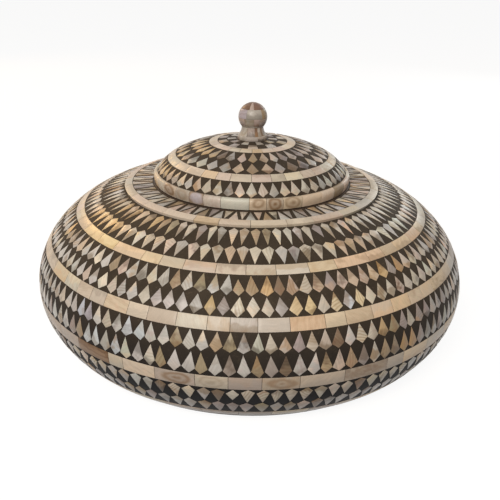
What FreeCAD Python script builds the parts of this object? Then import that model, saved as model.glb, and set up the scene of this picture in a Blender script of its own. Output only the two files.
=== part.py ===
"""Round lidded box of turned wood, covered with shell inlay in a dark resin ground.

Millimetres, +Z up, origin on the table under the middle of the foot. The bowl and the
lid are turned bodies. Their faces carry rings of shell plates and, between these, rows
of kite-shaped shell pieces glued to the wood in a thin ground. Each ring is a straight cone, because
the shell pieces are flat, and the rings together follow the curve of the turned body.
"""
import FreeCAD, Part
import math
import os

# Bowl: its section is struck as an ellipse about a circle round the axis
bowl_radius = 176.8
bowl_curve_circle_radius = 69.0
bowl_widest_height = 50.0
bowl_rise = 78.0
bowl_drop = 74.5
bowl_wall = 12.0
bowl_floor = 10.0
seat_sink = 0.8
seat_height = bowl_widest_height + bowl_rise - seat_sink
mouth_radius = 66.0
half_joint_lip = 5.0

# Inlay: the pieces are glued to the wood, and the ground fills the space between them
ground_depth = 1.6
glue_line = 0.1
hole_overrun = 0.5
piece_lift = 0.2
plate_lift = 0.35
plate_joint = 0.3

# Bands round the bowl: the turn of each from the top of the curve, and its width
upper_band_turn = 41.2
upper_band_width = 7.8
middle_band_turn = 65.0
middle_band_width = 8.9
belly_band_turn = 93.2
belly_band_width = 9.4
foot_band_turn = 121.0
foot_band_width = 8.4

# Lid: a half ellipse over the rim
lid_dome_radius = 79.2
lid_dome_lift = 2.1
lid_dome_height = seat_height + lid_dome_lift
lid_dome_rise = 32.5
lid_wall = 9.0
lid_edge_inset = 1.8
lid_lower_field_radius = lid_dome_radius - lid_edge_inset
lid_rim_reach = 3.5
lid_rim_radius = lid_lower_field_radius + lid_rim_reach
lid_rim_taper = 1.4
lid_rim_foot_radius = lid_rim_radius - lid_rim_taper
lid_rim_bevel = 2.2
lid_rim_clearance = 0.7
spigot_clearance = 0.7
spigot_thickness = 5.3
spigot_depth = 9.0
spigot_groove = 4.0
lid_band_inner_radius = 62.4
lid_band_width = 6.2
lid_band_outer_radius = lid_band_inner_radius + lid_band_width
crown_band_inner_radius = 28.4
crown_band_width = 6.7
crown_band_outer_radius = crown_band_inner_radius + crown_band_width

# Shoulder of the bowl, flat, round the lid
shoulder_gap = 1.5
shoulder_inner_radius = lid_rim_foot_radius + shoulder_gap
shoulder_width = 17.0
shoulder_band_inner_radius = shoulder_inner_radius + shoulder_width
shoulder_band_width = 6.1
shoulder_band_outer_radius = shoulder_band_inner_radius + shoulder_band_width
shoulder_drop = 0.2
shoulder_band_fall = 1.6

# Knob: a ball on a neck and a flared foot, tenoned into the lid
knob_ball_radius = 11.6
knob_ball_height = 18.3
knob_neck_radius = 9.3
knob_neck_foot_radius = 11.2
knob_foot_radius = 12.1
knob_foot_margin = 0.6
crown_inner_radius = knob_foot_radius + knob_foot_margin
knob_foot_height = 3.6
knob_skin = 1.2
knob_joint = 0.15
knob_tenon_radius = 4.5
knob_tenon_length = 7.0

# Counts
shoulder_triangle_count = 50
shoulder_plate_count = 28
upper_kite_count = 93
upper_plate_count = 46
middle_kite_count = 111
middle_plate_count = 57
belly_kite_count = 124
belly_plate_count = 48
under_kite_count = 114
foot_plate_count = 42
rim_plate_count = 35
lid_lower_kite_count = 56
lid_plate_count = 30
lid_kite_counts = (34, 34)
crown_plate_count = 20
crown_wedge_count = 10
knob_course_counts = (4, 8, 9, 8)
knob_strip_count = 12
knob_foot_count = 12

# Kites: how far down its row each is widest, how far it reaches, where the first of a row
# stands in its cell, and where the two rows of a field meet
upper_wide_shares = (0.22, 0.24)
middle_wide_shares = (0.68, 0.58)
belly_wide_shares = (0.7, 0.66)
under_wide_shares = (0.27, 0.26)
lid_wide_shares = (0.7, 0.63)
lid_lower_wide_share = 0.7
kite_end_share = 0.015
kite_side_share = 0.93
upper_start_share = 0.2
middle_start_share = 0.53
belly_start_share = 0.7
under_start_share = 0.52
lid_start_share = 0.55
upper_split_share = 0.53
middle_split_share = 0.51
belly_split_share = 0.46
under_split_share = 0.47
lid_split_share = 0.51
crown_split_share = 0.5

# Half outlines: how far along the row, and how far out to the side of the row's cell
triangle_out_shares = ((0.04, 0.68), (0.96, 0.0))
triangle_in_shares = ((0.04, 0.0), (0.96, 0.68))
wedge_shares = ((0.07, 0.9), (0.93, 0.9))
plate_shift_share = 0.38
knob_course_turns = (0.0, 38.0, 72.0, 104.0, 130.0)
curve_steps = 6

AXIS_FOOT = FreeCAD.Vector(0, 0, 0)
AXIS = FreeCAD.Vector(0, 0, 1)
BOWL = (bowl_curve_circle_radius, bowl_widest_height,
        bowl_radius - bowl_curve_circle_radius, bowl_rise, bowl_drop)
LID = (0, lid_dome_height, lid_dome_radius, lid_dome_rise, lid_dome_rise)


def curve_point(curve, turn, lift):
    """Radius and height on a curve at a turn from its top, moved out along the normal."""
    circle, height, width, rise, drop = curve
    sine, cosine = math.sin(math.radians(turn)), math.cos(math.radians(turn))
    tall = rise if cosine >= 0 else drop
    normal = math.hypot(tall * sine, width * cosine)
    return (circle + width * sine + lift * tall * sine / normal,
            height + tall * cosine + lift * width * cosine / normal)


def turn_at_radius(curve, radius):
    """Turn from the top at which the upper part of a curve has the given radius."""
    return math.degrees(math.asin((radius - curve[0]) / curve[2]))


def band_turns(curve, turn, width):
    """Turns of the two edges of a band of the given width, centred on a turn."""
    sine, cosine = math.sin(math.radians(turn)), math.cos(math.radians(turn))
    tall = curve[3] if cosine >= 0 else curve[4]
    half = math.degrees(width / 2 / math.hypot(curve[2] * cosine, tall * sine))
    return turn - half, turn + half


def vector(point):
    """A radius and height as a point of the XZ plane."""
    return FreeCAD.Vector(point[0], 0, point[1])


def outline_face(edges_or_points):
    """Closed face in the XZ plane from points, or from edges that join up."""
    first = edges_or_points[0]
    if isinstance(first, tuple):
        points = [vector(point) for point in edges_or_points]
        return Part.Face(Part.makePolygon(points + points[:1]))
    return Part.Face(Part.Wire(Part.__sortEdges__(edges_or_points)))


def turned(section, angle=360):
    """Solid turned from a section about the axis."""
    return outline_face(section).revolve(AXIS_FOOT, AXIS, angle)


def around(solid, count, start=0):
    """Copies of a solid spaced evenly about the axis, the first turned by a start angle."""
    copies = []
    for step in range(count):
        copy = solid.copy()
        copy.rotate(AXIS_FOOT, AXIS, start + 360 * step / count)
        copies.append(copy)
    return copies


def plate_ring(section, count, joint, place=0):
    """Ring of plates of one section, with thin joints that shift from ring to ring."""
    outer = max(point[0] for point in section)
    plate = turned(section, 360 / count - math.degrees(joint / outer))
    return around(plate, count, place * plate_shift_share * 360 / count)


def kite_shares(wide_share):
    """Half outline of a kite that is widest at the given share of its row."""
    return (kite_end_share, 0), (wide_share, kite_side_share), (1 - kite_end_share, 0)


def piece(cell, count, half_outline_shares, sink):
    """Flat shell piece in a cell of the face, at the X axis.

    The cell runs from an upper or inner point to a lower or outer one, and is as wide as
    its share of the circle. The half outline is mirrored about the cell's middle line.
    """
    (r0, z0), (r1, z1) = cell
    length = math.hypot(r1 - r0, z1 - z0)
    along = FreeCAD.Vector((r1 - r0) / length, 0, (z1 - z0) / length)
    normal = FreeCAD.Vector(-along.z, 0, along.x)
    places = []
    for share, side_share in half_outline_shares:
        middle = vector(cell[0]) + along * (share * length) + normal * piece_lift
        half = side_share * math.pi * middle.x / count
        places.append((middle, half))
    points = [middle + FreeCAD.Vector(0, half, 0) for middle, half in places]
    points += [middle - FreeCAD.Vector(0, half, 0) for middle, half in reversed(places) if half]
    face = Part.Face(Part.makePolygon(points + points[:1]))
    return face.extrude(normal * -(piece_lift + sink))


def inlay(cell, cells_round, half_outline_shares, copies, start=0):
    """Ring of pieces down to their glue, and the deeper ring that cuts their holes."""
    rings = []
    for sink in (ground_depth - glue_line, ground_depth + hole_overrun):
        one = piece(cell, cells_round, half_outline_shares, sink)
        rings.append(around(one, copies, start))
    return rings


def ground_ring(outer_points, inner_points, holes):
    """Ring of ground between outer and inner points, with a hole for each piece."""
    ring = turned(list(outer_points) + list(reversed(inner_points)))
    return ring.cut(holes).Solids


def band_section(curve, turns, thickness, lift):
    """Section of a band of plates on a curve, between the turns of its two edges."""
    outer = [curve_point(curve, turn, lift) for turn in turns]
    inner = [curve_point(curve, turn, -thickness) for turn in reversed(turns)]
    return outer + inner


def kite_rows(curve, turns, counts, wide_shares, start_share=0):
    """One row of kites and holes between each two turns, in line where the counts agree."""
    outer = [curve_point(curve, turn, 0) for turn in turns]
    rows = []
    for place, count in enumerate(counts):
        cell = outer[place:place + 2]
        start = start_share * 360 / count
        rows.append(inlay(cell, count, kite_shares(wide_shares[place]), count, start))
    return rows


def field_ground(curve, turns, rows):
    """Ground round the rows of pieces on a curve."""
    outer = [curve_point(curve, turn, 0) for turn in turns]
    inner = [curve_point(curve, turn, -ground_depth) for turn in turns]
    return ground_ring(outer, inner, [hole for pieces, holes in rows for hole in holes])


def smooth_edge(points):
    """One smooth curve through points of a section."""
    curve = Part.BSplineCurve()
    curve.interpolate([vector(point) for point in points])
    return curve.toShape()


def straight_edges(points):
    """Straight edges joining points of a section in turn."""
    pairs = zip(points, points[1:])
    return [Part.makeLine(vector(one), vector(two)) for one, two in pairs]


# Turns of the ring edges on the bowl, from the shoulder down to the foot
upper_in, upper_out = band_turns(BOWL, upper_band_turn, upper_band_width)
middle_in, middle_out = band_turns(BOWL, middle_band_turn, middle_band_width)
belly_in, belly_out = band_turns(BOWL, belly_band_turn, belly_band_width)
foot_in, foot_out = band_turns(BOWL, foot_band_turn, foot_band_width)
shoulder_out = turn_at_radius(BOWL, shoulder_band_outer_radius)


def split(start, end, share):
    """The two edges of a field and the line where its rows meet."""
    return start, start + (end - start) * share, end


nodes = {}

# Inlay of the bowl, ring by ring
upper_turns = split(shoulder_out, upper_in, upper_split_share)
middle_turns = split(upper_out, middle_in, middle_split_share)
belly_turns = split(middle_out, belly_in, belly_split_share)
under_turns = split(belly_out, foot_in, under_split_share)
bowl_fields = (
    ("upper", upper_turns, upper_kite_count, upper_wide_shares, upper_start_share),
    ("middle", middle_turns, middle_kite_count, middle_wide_shares, middle_start_share),
    ("belly", belly_turns, belly_kite_count, belly_wide_shares, belly_start_share),
    ("under", under_turns, under_kite_count, under_wide_shares, under_start_share),
)
for name, turns, count, wide_shares, start_share in bowl_fields:
    rows = kite_rows(BOWL, turns, (count, count), wide_shares, start_share)
    nodes[name + "_ground"] = field_ground(BOWL, turns, rows)
    nodes[name + "_kites_high"] = rows[0][0]
    nodes[name + "_kites_low"] = rows[1][0]

bowl_bands = (
    ("upper_band", (upper_in, upper_out), upper_plate_count),
    ("middle_band", (middle_in, middle_out), middle_plate_count),
    ("belly_band", (belly_in, belly_out), belly_plate_count),
    ("foot_band", (foot_in, foot_out), foot_plate_count),
)
for place, (name, turns, count) in enumerate(bowl_bands):
    section = band_section(BOWL, turns, ground_depth, plate_lift)
    nodes[name] = plate_ring(section, count, plate_joint, place)

# Flat shoulder: a ground disc with triangles that point in and out by turns
shoulder_top = seat_height - shoulder_drop
shoulder_cell = ((shoulder_inner_radius, shoulder_top), (shoulder_band_inner_radius, shoulder_top))
half_step = 180 / shoulder_triangle_count
triangles_out, holes_out = inlay(
    shoulder_cell, shoulder_triangle_count, triangle_out_shares, shoulder_triangle_count)
triangles_in, holes_in = inlay(
    shoulder_cell, shoulder_triangle_count, triangle_in_shares, shoulder_triangle_count, half_step)
nodes["shoulder_triangles_out"] = triangles_out
nodes["shoulder_triangles_in"] = triangles_in
shoulder_floor = shoulder_top - ground_depth
nodes["shoulder_ground"] = ground_ring(
    shoulder_cell,
    ((shoulder_inner_radius, shoulder_floor), (shoulder_band_inner_radius, shoulder_floor)),
    holes_out + holes_in)

shoulder_band_top = seat_height + shoulder_drop
nodes["shoulder_band"] = plate_ring(
    [(shoulder_band_inner_radius, shoulder_floor),
     (shoulder_band_inner_radius, shoulder_band_top),
     (shoulder_band_outer_radius, shoulder_band_top - shoulder_band_fall),
     curve_point(BOWL, shoulder_out, 0),
     curve_point(BOWL, shoulder_out, -ground_depth)],
    shoulder_plate_count, plate_joint)

# Wood of the bowl: two turned halves, glued at a lip behind the belly's middle line
belly_line = belly_turns[1]
half_height = curve_point(BOWL, belly_line, -ground_depth)[1]
inner_width = bowl_radius - bowl_wall - bowl_curve_circle_radius
inner_rise = bowl_rise - bowl_wall
inner_drop = bowl_drop - bowl_wall
INNER = (bowl_curve_circle_radius, bowl_widest_height, inner_width, inner_rise, inner_drop)
half_turn = math.degrees(math.acos((half_height - bowl_widest_height) / inner_rise))
inner_half_radius = curve_point(INNER, half_turn, 0)[0]
outer_half_radius = curve_point(BOWL, belly_line, -ground_depth)[0]
lip_radius = (inner_half_radius + outer_half_radius) / 2
lip_turn = math.degrees(math.acos((half_height + half_joint_lip - bowl_widest_height) / inner_rise))
lip_inner_radius = curve_point(INNER, lip_turn, 0)[0]
floor_turn = 180 - math.degrees(math.acos((bowl_widest_height - bowl_floor) / inner_drop))
base_turn = 180 - math.degrees(math.acos(bowl_widest_height / bowl_drop))


def spaced(start, end, steps):
    """Evenly spaced turns from one turn to another."""
    return [start + (end - start) * step / steps for step in range(steps + 1)]


upper_line = [(mouth_radius, seat_height), (shoulder_inner_radius, seat_height),
              (shoulder_inner_radius, shoulder_floor), (shoulder_band_inner_radius, shoulder_floor)]
for turn in upper_turns + middle_turns + belly_turns[:2]:
    upper_line.append(curve_point(BOWL, turn, -ground_depth))
upper_line += [(lip_radius, half_height), (lip_radius, half_height + half_joint_lip),
               (lip_inner_radius, half_height + half_joint_lip)]
inner_top = [curve_point(INNER, turn, 0) for turn in spaced(lip_turn, 0, curve_steps)]
mouth_edge = [inner_top[-1], (mouth_radius, inner_top[-1][1]), (mouth_radius, seat_height)]
upper_edges = straight_edges(upper_line) + [smooth_edge(inner_top)] + straight_edges(mouth_edge)
nodes["bowl_upper_core"] = [turned(upper_edges)]

lower_line = [(lip_inner_radius, half_height + half_joint_lip),
              (lip_radius, half_height + half_joint_lip), (lip_radius, half_height)]
for turn in belly_turns[1:] + under_turns + (foot_out,):
    lower_line.append(curve_point(BOWL, turn, -ground_depth))
lower_line += [curve_point(BOWL, foot_out, 0), curve_point(BOWL, base_turn, 0), (0, 0),
               (0, bowl_floor), curve_point(INNER, floor_turn, 0)]
inner_bottom = [curve_point(INNER, turn, 0) for turn in spaced(floor_turn, lip_turn, curve_steps)]
nodes["bowl_lower_core"] = [turned(straight_edges(lower_line) + [smooth_edge(inner_bottom)])]

# Inlay of the lid
lid_lower_out = turn_at_radius(LID, lid_lower_field_radius)
lid_band_out = turn_at_radius(LID, lid_band_outer_radius)
lid_band_in = turn_at_radius(LID, lid_band_inner_radius)
crown_band_out = turn_at_radius(LID, crown_band_outer_radius)
crown_band_in = turn_at_radius(LID, crown_band_inner_radius)
crown_in = turn_at_radius(LID, crown_inner_radius)

lower_turns = (lid_band_out, lid_lower_out)
rows = kite_rows(LID, lower_turns, (lid_lower_kite_count,), (lid_lower_wide_share,))
nodes["lid_lower_ground"] = field_ground(LID, lower_turns, rows)
nodes["lid_lower_kites"] = rows[0][0]
dome_turns = split(crown_band_out, lid_band_in, lid_split_share)
rows = kite_rows(LID, dome_turns, lid_kite_counts, lid_wide_shares, lid_start_share)
nodes["lid_upper_ground"] = field_ground(LID, dome_turns, rows)
nodes["lid_kites_high"] = rows[0][0]
nodes["lid_kites_low"] = rows[1][0]
crown_turns = split(crown_in, crown_band_in, crown_split_share)
crown_cells = [curve_point(LID, turn, 0) for turn in crown_turns]
wedge_cells = 2 * crown_wedge_count
wedge_step = 360 / wedge_cells
inner_wedges = inlay(crown_cells[:2], wedge_cells, wedge_shares, crown_wedge_count)
outer_wedges = inlay(crown_cells[1:], wedge_cells, wedge_shares, crown_wedge_count, wedge_step)
nodes["crown_wedges_inner"] = inner_wedges[0]
nodes["crown_wedges_outer"] = outer_wedges[0]
nodes["crown_ground"] = field_ground(LID, crown_turns, (inner_wedges, outer_wedges))
crown_section = band_section(LID, (crown_band_in, crown_band_out), ground_depth, plate_lift)
nodes["crown_band"] = plate_ring(crown_section, crown_plate_count, plate_joint)
lid_section = band_section(LID, (lid_band_in, lid_band_out), ground_depth, plate_lift)
nodes["lid_band"] = plate_ring(lid_section, lid_plate_count, plate_joint)

# Rim of the lid: upright plates with a bevelled top edge
rim_foot = seat_height + lid_rim_clearance
field_edge = curve_point(LID, lid_lower_out, 0)
field_root = curve_point(LID, lid_lower_out, -ground_depth)
rim_top = field_edge[1] - lid_rim_bevel
nodes["lid_rim_plates"] = plate_ring(
    [field_edge, (lid_rim_radius, rim_top), (lid_rim_foot_radius, rim_foot),
     (field_root[0], rim_foot), field_root],
    rim_plate_count, plate_joint)

# Wood of the lid, hollow below, with a ring that drops into the mouth
lid_top = curve_point(LID, crown_in, 0)
hollow_radius = mouth_radius - spigot_clearance - spigot_thickness
spigot_radius = mouth_radius - spigot_clearance
HOLLOW = (0, lid_dome_height, lid_dome_radius - lid_wall, lid_dome_rise - lid_wall, lid_dome_rise)
hollow_turn = turn_at_radius(HOLLOW, hollow_radius)
groove_top = seat_height + spigot_groove
hollow_line = [curve_point(HOLLOW, turn, 0) for turn in spaced(hollow_turn, 0, curve_steps)]
lid_line = [hollow_line[0], (hollow_radius, groove_top), (spigot_radius, groove_top),
            (spigot_radius, seat_height), (field_root[0], seat_height), field_root]
for turn in (lid_band_out, lid_band_in, dome_turns[1], crown_band_out, crown_band_in,
             crown_turns[1], crown_in):
    lid_line.append(curve_point(LID, turn, -ground_depth))
tenon_foot = lid_top[1] - knob_tenon_length
lid_line += [lid_top, (knob_tenon_radius, lid_top[1]), (knob_tenon_radius, tenon_foot),
             (0, tenon_foot), hollow_line[-1]]
nodes["lid_core"] = [turned(straight_edges(lid_line) + [smooth_edge(hollow_line)])]
nodes["lid_spigot"] = [turned([
    (hollow_radius, seat_height - spigot_depth), (spigot_radius, seat_height - spigot_depth),
    (spigot_radius, groove_top), (hollow_radius, groove_top)])]

# Knob: wood, tenoned into the lid, with a skin of small shell pieces
knob_seat = lid_top[1]
ball_height = knob_seat + knob_ball_height
foot_top = knob_seat + knob_foot_height


def ball_point(radius, turn):
    """Point on a ball about the knob's middle, at a turn from its top."""
    return (radius * math.sin(math.radians(turn)),
            ball_height + radius * math.cos(math.radians(turn)))


def arc_edge(one, middle, two):
    """Arc through three points of a section."""
    return Part.Arc(vector(one), vector(middle), vector(two)).toShape()


def ball_arc(radius, start, end):
    """Arc on the knob's ball between two turns from its top."""
    middle = (start + end) / 2
    return arc_edge(ball_point(radius, start), ball_point(radius, middle), ball_point(radius, end))


neck_turn = knob_course_turns[-1]
core_ball_radius = knob_ball_radius - knob_skin
neck_top = ball_point(core_ball_radius, neck_turn)
skin_neck_top = ball_point(knob_ball_radius, neck_turn)
neck_middle_height = (neck_top[1] + foot_top) / 2
neck_foot = (knob_neck_foot_radius - knob_skin, foot_top)
core_neck = (knob_neck_radius - knob_skin, neck_middle_height)
core_edges = [ball_arc(core_ball_radius, 0, neck_turn), arc_edge(neck_top, core_neck, neck_foot)]
core_edges += straight_edges([
    neck_foot, (knob_foot_radius - knob_skin, foot_top), (knob_foot_radius - knob_skin, knob_seat),
    (knob_tenon_radius, knob_seat), (knob_tenon_radius, tenon_foot), (0, tenon_foot),
    ball_point(core_ball_radius, 0)])
nodes["knob_core"] = [turned(core_edges)]

knob_tiles = []
for course, count in enumerate(knob_course_counts):
    start, end = knob_course_turns[course:course + 2]
    edges = [ball_arc(core_ball_radius, start, end), ball_arc(knob_ball_radius, start, end)]
    for turn in (start, end):
        edges += straight_edges([ball_point(core_ball_radius, turn), ball_point(knob_ball_radius, turn)])
    gap = math.degrees(knob_joint / knob_ball_radius)
    knob_tiles += around(turned(edges, 360 / count - gap), count, 180 * course / count)
nodes["knob_ball_tiles"] = knob_tiles

strip_foot = (knob_neck_foot_radius, foot_top)
strip_edges = [arc_edge(neck_top, core_neck, neck_foot),
               arc_edge(skin_neck_top, (knob_neck_radius, neck_middle_height), strip_foot)]
strip_edges += straight_edges([neck_top, skin_neck_top])
strip_edges += straight_edges([neck_foot, strip_foot])
strip_gap = math.degrees(knob_joint / knob_neck_radius)
strip = turned(strip_edges, 360 / knob_strip_count - strip_gap)
nodes["knob_neck_strips"] = around(strip, knob_strip_count)
nodes["knob_foot_tiles"] = plate_ring(
    [(knob_foot_radius - knob_skin, knob_seat), (knob_foot_radius, knob_seat),
     (knob_foot_radius, foot_top), (knob_foot_radius - knob_skin, foot_top)],
    knob_foot_count, knob_joint)

os.makedirs("parts", exist_ok=True)
for name, solids in nodes.items():
    shape = solids[0] if len(solids) == 1 else Part.makeCompound(solids)
    valid = all(solid.isValid() and solid.Volume > 0 for solid in solids)
    print(name, len(solids), "valid" if valid else "NOT VALID", round(shape.Volume))
    shape.exportStep("parts/" + name + ".step")
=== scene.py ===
import math

import bpy
import numpy as np
from mathutils import Matrix, Vector


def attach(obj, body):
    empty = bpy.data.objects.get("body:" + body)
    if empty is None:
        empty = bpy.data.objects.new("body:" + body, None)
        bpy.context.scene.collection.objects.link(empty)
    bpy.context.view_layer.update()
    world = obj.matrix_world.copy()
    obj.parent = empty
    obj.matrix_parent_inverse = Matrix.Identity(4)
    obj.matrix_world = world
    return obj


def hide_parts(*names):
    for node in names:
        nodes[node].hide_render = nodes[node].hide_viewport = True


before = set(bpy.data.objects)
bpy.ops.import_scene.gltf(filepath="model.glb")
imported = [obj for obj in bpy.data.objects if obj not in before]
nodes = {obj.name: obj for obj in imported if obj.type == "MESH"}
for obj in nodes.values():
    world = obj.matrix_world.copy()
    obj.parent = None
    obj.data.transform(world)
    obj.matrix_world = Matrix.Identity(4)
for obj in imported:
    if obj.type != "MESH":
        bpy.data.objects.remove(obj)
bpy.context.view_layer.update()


# Wood of the bowl, the lid and the knob: turned from a plain pale wood and stained dark.
# It shows only under the foot and, once the lid is off, on the seat and inside.
wooden_nodes = ("bowl_lower_core", "bowl_upper_core", "lid_core", "lid_spigot", "knob_core")
wood_ramp = ((0.3, (0.020, 0.012, 0.007, 1)), (0.7, (0.075, 0.045, 0.026, 1)))
fibre_scale = (30.0, 260.0, 260.0)
figure_scale = 35.0
fibre_share = 0.7
wood_roughness = 0.45
wood_roughness_rise = 0.2
wood_relief = 0.0002


class Finish:
    """One value or colour of a finish. Sums of values are written as arithmetic."""

    def __init__(self, tree, socket=None):
        self.tree = tree
        self.socket = socket

    def node(self, kind, settings=None, sockets=None, output=0):
        """A new node: its settings first, then the values or links of its sockets.

        What comes back is its output of the given number or name.
        """
        made = self.tree.nodes.new("ShaderNode" + kind)
        for name, value in (settings or {}).items():
            if name == "stops":
                for place, (position, colour) in enumerate(value):
                    if place > 1:
                        made.color_ramp.elements.new(position)
                    made.color_ramp.elements[place].position = position
                    made.color_ramp.elements[place].color = colour
            else:
                setattr(made, name, value)
        for name, value in (sockets or {}).items():
            if isinstance(value, Finish):
                self.tree.links.new(value.socket, made.inputs[name])
            else:
                made.inputs[name].default_value = value
        return Finish(self.tree, made.outputs[output] if len(made.outputs) else None)

    def maths(self, operation, one, two=0.0):
        """A value worked out from one or two others."""
        return self.node("Math", {"operation": operation}, {0: one, 1: two})

    def __add__(self, other):
        return self.maths("ADD", self, other)

    def __sub__(self, other):
        return self.maths("SUBTRACT", self, other)

    def __rsub__(self, other):
        return self.maths("SUBTRACT", other, self)

    def __mul__(self, other):
        return self.maths("MULTIPLY", self, other)

    __radd__ = __add__
    __rmul__ = __mul__

    def wave(self):
        """Sine of the value, brought to the range from 0 to 1."""
        return self.maths("SINE", self) * 0.5 + 0.5

    def part(self, axis):
        """One of a vector's three parts."""
        return self.node("SeparateXYZ", {}, {"Vector": self}, axis)

    def step(self, low, high):
        """Smooth step from 0 at low to 1 at high."""
        settings = {"interpolation_type": "SMOOTHSTEP"}
        return self.node("MapRange", settings, {"Value": self, "From Min": low, "From Max": high})

    def noise(self, scale, detail=2.0, roughness=0.5):
        """Cloudy noise at the place that this value is."""
        return self.node("TexNoise", {}, {
            "Vector": self, "Scale": scale, "Detail": detail, "Roughness": roughness})

    def into(self, other, share, blend="MIX"):
        """This colour mixed towards another by a share, at the Mix node's colour sockets."""
        settings = {"data_type": "RGBA", "blend_type": blend}
        return self.node("Mix", settings, {0: share, 6: self, 7: other}, 2)

    def lit(self, amount):
        """This colour made lighter or darker by an amount."""
        return self.node("VectorMath", {"operation": "SCALE"}, {0: self, "Scale": amount})


def new_finish(name):
    """An empty material, and the value that its finish starts from."""
    material = bpy.data.materials.new(name)
    material.use_nodes = True
    material.node_tree.nodes.clear()
    return material, Finish(material.node_tree)


def close_finish(start, sockets, height, depth):
    """Ends a finish in its surface, with small relief: a height times a depth in metres."""
    relief = start.node("Bump", {}, {"Strength": 1.0, "Distance": depth, "Height": height})
    surface = start.node("BsdfPrincipled", {}, {**sockets, "Normal": relief})
    start.node("OutputMaterial", {}, {"Surface": surface})


wood, start = new_finish("stained_wood")
spot = start.node("TexCoord", output="Object")
fibre = start.node("Mapping", {}, {"Vector": spot, "Scale": fibre_scale}).noise(1.0, 4.0, 0.6)
figure = spot.noise(figure_scale)
colour = start.node("ValToRGB", {"stops": wood_ramp}, {
    "Fac": fibre * fibre_share + figure * (1 - fibre_share)})
close_finish(start, {"Base Color": colour, "Roughness": wood_roughness + fibre * wood_roughness_rise},
             fibre, wood_relief)
for name in wooden_nodes:
    nodes[name].data.materials.clear()
    nodes[name].data.materials.append(wood)


# Ground of the bowl: four rings of dark resin, poured round the shell pieces and turned
# smooth with them. Each ring runs on under the plates of the bands beside it.
bowl_radius = 0.1768
bowl_curve_circle_radius = 0.069
bowl_widest_height = 0.050
bowl_rise = 0.078
bowl_drop = 0.0745
bowl_curve = (bowl_curve_circle_radius, bowl_widest_height,
              bowl_radius - bowl_curve_circle_radius, bowl_rise, bowl_drop)
band_turns = {"upper": 41.2, "middle": 65.0, "belly": 93.2, "foot": 121.0}
band_widths = {"upper": 0.0078, "middle": 0.0089, "belly": 0.0094, "foot": 0.0084}
shoulder_band_outer_radius = 0.1041
length_chords = 8
ground_depth = 0.0016
ground_sides = 400
ground_steps = 12
ground_back_step = 4
sharp_edge = math.radians(35)
resin_ramp = ((0.25, (0.024, 0.017, 0.011, 1)), (0.75, (0.052, 0.038, 0.026, 1)))
resin_dust = (0.10, 0.072, 0.046, 1)
# Painted shade of the ground by height: near black low down, lighter higher up.
painted_shade_black = (0.010, 0.010, 0.011, 1)
painted_shade_below = 0.025
unshaded_above = 0.1
painted_shade_share = 0.95
painted_light_gain = 1.25
resin_roughness = 0.5
resin_gloss = 0.08
resin_relief = 0.00015


def curved_face(curve, start_turn, end_turn):
    """Face of a turned body between two turns from the top of its curve, in degrees.

    A point at the share s of the way down is at turn t = start + (end - start) s. Its radius
    is circle + width sin t and its height is middle + tall cos t, moved out along the normal
    (tall sin t, width cos t) by its lift. The face is that function of share and lift, and
    its length, the sum of a few chords.
    """
    circle, middle, width, rise, drop = curve

    def point(share, lift):
        turn = np.radians(start_turn + (end_turn - start_turn) * share)
        sine, cosine = np.sin(turn), np.cos(turn)
        tall = np.where(cosine >= 0, rise, drop)
        normal = np.hypot(tall * sine, width * cosine)
        radius = circle + width * sine + lift * tall * sine / normal
        return radius, middle + tall * cosine + lift * width * cosine / normal

    radius, height = point(np.linspace(0, 1, length_chords + 1), 0)
    return point, np.hypot(np.diff(radius), np.diff(height)).sum()


def turn_at_radius(curve, radius):
    """Turn t from the top at which the upper part of a curve, circle + width sin t, has a radius."""
    return math.degrees(math.asin((radius - curve[0]) / curve[2]))


def band_edges(curve, turn, width):
    """Turns of the two edges of a band of the given width, centred on a turn t.

    Each is half the width away, over the curve's speed there, whose parts are width cos t
    and tall sin t.
    """
    tall = curve[3] if turn < 90 else curve[4]
    speed = math.hypot(curve[2] * math.cos(math.radians(turn)), tall * math.sin(math.radians(turn)))
    half = math.degrees(width / 2 / speed)
    return turn - half, turn + half


def about_axis(radius, height, azimuth):
    """Points at a radius r, a height z and an azimuth a about the axis: (r cos a, r sin a, z)."""
    return np.stack((radius * np.cos(azimuth), radius * np.sin(azimuth), height + 0 * azimuth), axis=-1)


def finish_mesh(mesh, material):
    """Gives a mesh its material and smooth shading with sharp edges."""
    mesh.materials.append(material)
    mesh.shade_smooth()
    mesh.set_sharp_from_angle(angle=sharp_edge)


def add_piece(mesh, body, node):
    """Puts a mesh in the scene as a piece that rides on a body and stands for a node."""
    made = bpy.data.objects.new(mesh.name, mesh)
    bpy.context.scene.collection.objects.link(made)
    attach(made, body)
    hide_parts(node)


def ground_ring(name, face, body, start_share=0.0, end_share=1.0):
    """Closed ring of ground on a face: its section is carried round in equal steps.

    The section goes down the face with no lift, and back up it in fewer steps at the depth
    of the ground.
    """
    down = np.linspace(start_share, end_share, ground_steps + 1)
    outer = np.array(face[0](down, 0.0))
    inner = np.array(face[0](down[::-ground_back_step], -ground_depth))
    radius, height = np.concatenate((outer, inner), axis=1)
    azimuth = np.arange(ground_sides) * 2 * math.pi / ground_sides
    points = about_axis(radius, height, azimuth[:, None])
    across, along = np.meshgrid(np.arange(ground_sides), np.arange(len(radius)), indexing="ij")
    corners = [(across + right) % ground_sides * len(radius) + (along + below) % len(radius)
               for right, below in ((0, 0), (0, 1), (1, 1), (1, 0))]
    faces = np.stack(corners, axis=-1)
    mesh = bpy.data.meshes.new(name + "_resin")
    mesh.from_pydata(points.reshape(-1, 3).tolist(), [], faces.reshape(-1, 4).tolist())
    finish_mesh(mesh, resin)
    add_piece(mesh, body, name + "_ground")


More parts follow.
